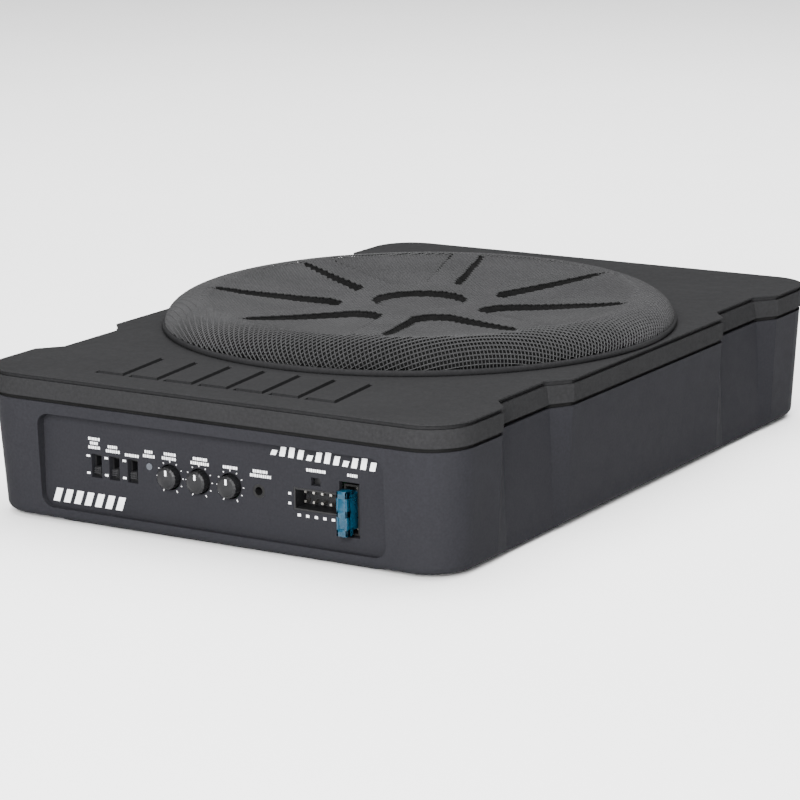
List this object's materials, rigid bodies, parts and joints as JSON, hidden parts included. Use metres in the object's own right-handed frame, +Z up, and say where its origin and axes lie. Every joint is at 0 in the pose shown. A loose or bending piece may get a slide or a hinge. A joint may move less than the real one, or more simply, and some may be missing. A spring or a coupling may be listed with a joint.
{
  "type": "powered car subwoofer",
  "caption": "Low, flat powered car subwoofer with rounded corners, notched long sides, a domed round mesh grille with radiating spokes, and a recessed front control panel.",
  "frame": {"origin": "middle of the underside, where the base plate rests", "axes": "+X to the right and +Y to the back as seen from the control panel, +Z up; the control panel faces -Y"},
  "size_m": [0.241, 0.354, 0.0802],
  "materials": {
    "case_paint": "die-cast, satin black powder coat",
    "lid_paint": "die-cast, fine textured black paint",
    "gasket_foam": "matt",
    "screw_steel": "black zinc",
    "plate_steel": "satin black",
    "insert_brass": "machined",
    "grille_mesh": "black powder-coated steel mesh",
    "basket_steel": "stamped steel, black e-coat",
    "surround_rubber": "matt",
    "cone_paper": "mica-filled polypropylene",
    "cap_plastic": "satin",
    "former_aluminium": "foil",
    "winding_copper": "enamelled copper wire",
    "motor_steel": "zinc plated",
    "ferrite": "ferrite",
    "spider_cloth": "resin-treated cotton",
    "panel_paint": "satin black",
    "black_plastic": "moulded nylon",
    "slider_plastic": "moulded",
    "knob_plastic": "moulded",
    "led_lens": "diffused",
    "contact_metal": "tin plated",
    "fuse_blue": "tinted transparent",
    "fuse_metal": "zinc alloy",
    "board_green": "solder mask over glass epoxy",
    "capacitor_sleeve": "shrink sleeve over aluminium can",
    "coil_core": "coated ferrite wound with copper",
    "spreader_aluminium": "extruded",
    "device_epoxy": "epoxy"
  },
  "bodies": {
    "case": {"amplifier_board": "board_green", "base_plate": "plate_steel", "base_plate_screws": "screw_steel", "bass_boost_potentiometer": "black_plastic", "board_link_header": "black_plastic", "board_screws": "screw_steel", "board_standoffs": "contact_metal", "bracket_thread_inserts": "insert_brass", "connector_pin_guide": "black_plastic", "connector_pins": "contact_metal", "control_board": "board_green", "control_panel": "panel_paint", "crossover_potentiometer": "black_plastic", "enclosure_body": "case_paint", "filter_capacitors": "capacitor_sleeve", "fuse_holder": "black_plastic", "gain_potentiometer": "black_plastic", "grille_ring": "grille_mesh", "heat_spreader": "spreader_aluminium", "input_switch_housing": "black_plastic", "lid_gasket": "gasket_foam", "lid_screws": "screw_steel", "low_pass_switch_housing": "black_plastic", "output_inductors": "coil_core", "panel_screws": "screw_steel", "phase_switch_housing": "black_plastic", "power_connector": "black_plastic", "power_led": "led_lens", "power_transformer": "coil_core", "power_transistors": "device_epoxy", "remote_jack": "black_plastic", "ring_magnet": "ferrite", "spider": "spider_cloth", "terminal_strip": "contact_metal", "top_lid": "lid_paint", "top_plate": "motor_steel", "woofer_basket": "basket_steel", "woofer_grille": "grille_mesh", "woofer_screws": "screw_steel", "woofer_surround": "surround_rubber", "woofer_trim_ring": "black_plastic", "yoke_and_pole": "motor_steel"},
    "cone_assembly": {"woofer_cone": "cone_paper", "dust_cap": "cap_plastic", "coil_former": "former_aluminium", "voice_coil": "winding_copper"},
    "fuse": {"fuse_body": "fuse_blue", "fuse_blades": "fuse_metal"},
    "low_pass_switch": {"low_pass_switch_slider": "slider_plastic"},
    "phase_switch": {"phase_switch_slider": "slider_plastic"},
    "input_switch": {"input_switch_slider": "slider_plastic"},
    "gain_control": {"gain_knob": "knob_plastic"},
    "crossover_control": {"crossover_knob": "knob_plastic"},
    "bass_boost_control": {"bass_boost_knob": "knob_plastic"}
  },
  "joints": [
    {"name": "cone_travel", "type": "slide", "parent": "case", "child": "cone_assembly", "axis": [0, 0, 1], "range_m": [-0.006, 0.006], "stiffness_N_per_m": 2600, "deforming": ["woofer_surround", "spider"]},
    {"name": "low_pass_switch_throw", "type": "slide", "parent": "case", "child": "low_pass_switch", "axis": [0, 0, 1], "range_m": [0, 0.004]},
    {"name": "phase_switch_throw", "type": "slide", "parent": "case", "child": "phase_switch", "axis": [0, 0, 1], "range_m": [0, 0.004]},
    {"name": "input_switch_throw", "type": "slide", "parent": "case", "child": "input_switch", "axis": [0, 0, 1], "range_m": [0, 0.004]},
    {"name": "gain_turn", "type": "hinge", "parent": "case", "child": "gain_control", "pos_m": [-0.0213, -0.1748, 0.0272], "axis": [0, -1, 0], "range_deg": [-150, 150]},
    {"name": "crossover_turn", "type": "hinge", "parent": "case", "child": "crossover_control", "pos_m": [-0.0063, -0.1748, 0.0272], "axis": [0, -1, 0], "range_deg": [-150, 150]},
    {"name": "bass_boost_turn", "type": "hinge", "parent": "case", "child": "bass_boost_control", "pos_m": [0.0096, -0.1748, 0.0272], "axis": [0, -1, 0], "range_deg": [-150, 150]},
    {"name": "fuse_pull", "type": "slide", "parent": "case", "child": "fuse", "axis": [0, -1, 0], "range_m": [0, 0.012]}
  ]
}
